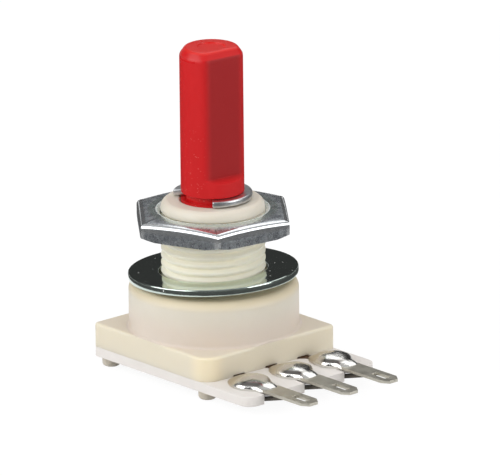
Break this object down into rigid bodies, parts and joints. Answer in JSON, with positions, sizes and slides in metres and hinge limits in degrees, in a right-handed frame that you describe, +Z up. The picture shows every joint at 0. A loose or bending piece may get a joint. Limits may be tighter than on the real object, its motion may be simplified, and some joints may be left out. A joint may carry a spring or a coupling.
{
  "type": "rotary potentiometer",
  "caption": "Panel potentiometer with a round moulded drum on a square flange, a threaded bush with nut and washer, a plastic D shaft, a ceramic base plate and soldered tags.",
  "frame": {"origin": "on the shaft's axis, in the mounting face: the drum's flat top, where the bush begins", "axes": "+Z up the shaft, -Y the way the solder tags point, +X to the right seen from the tags"},
  "size_m": [0.0162, 0.0279, 0.0315],
  "materials": {
    "ivory_plastic": "satin",
    "white_ceramic": "matte",
    "resistive_film": "satin",
    "silver_film": "satin",
    "tinned_sheet": "satin",
    "solder": "gloss",
    "bright_plate": "polished",
    "zinc_plate": "satin",
    "red_plastic": "satin",
    "spring_alloy": "satin",
    "ring_steel": "satin"
  },
  "bodies": {
    "case": {"housing": "ivory_plastic", "base_plate": "white_ceramic", "resistive_track": "resistive_film", "collector_track": "silver_film", "end_lead_left": "silver_film", "end_lead_right": "silver_film", "solder_tag_left": "tinned_sheet", "solder_tag_middle": "tinned_sheet", "solder_tag_right": "tinned_sheet", "solder_joint_left": "solder", "solder_joint_middle": "solder", "solder_joint_right": "solder", "flat_washer": "bright_plate"},
    "rotor": {"shaft": "red_plastic", "wiper_spring": "spring_alloy", "retaining_ring": "ring_steel"},
    "nut": {"hex_nut": "zinc_plate"}
  },
  "joints": [
    {"name": "shaft_turn", "type": "hinge", "parent": "case", "child": "rotor", "pos_m": [0, 0, 0], "axis": [0, 0, 1], "range_deg": [-143.5, 156.5]},
    {"name": "nut_travel", "type": "slide", "parent": "case", "child": "nut", "axis": [0, 0, 1], "range_m": [-0.00345, 0.00285]}
  ]
}
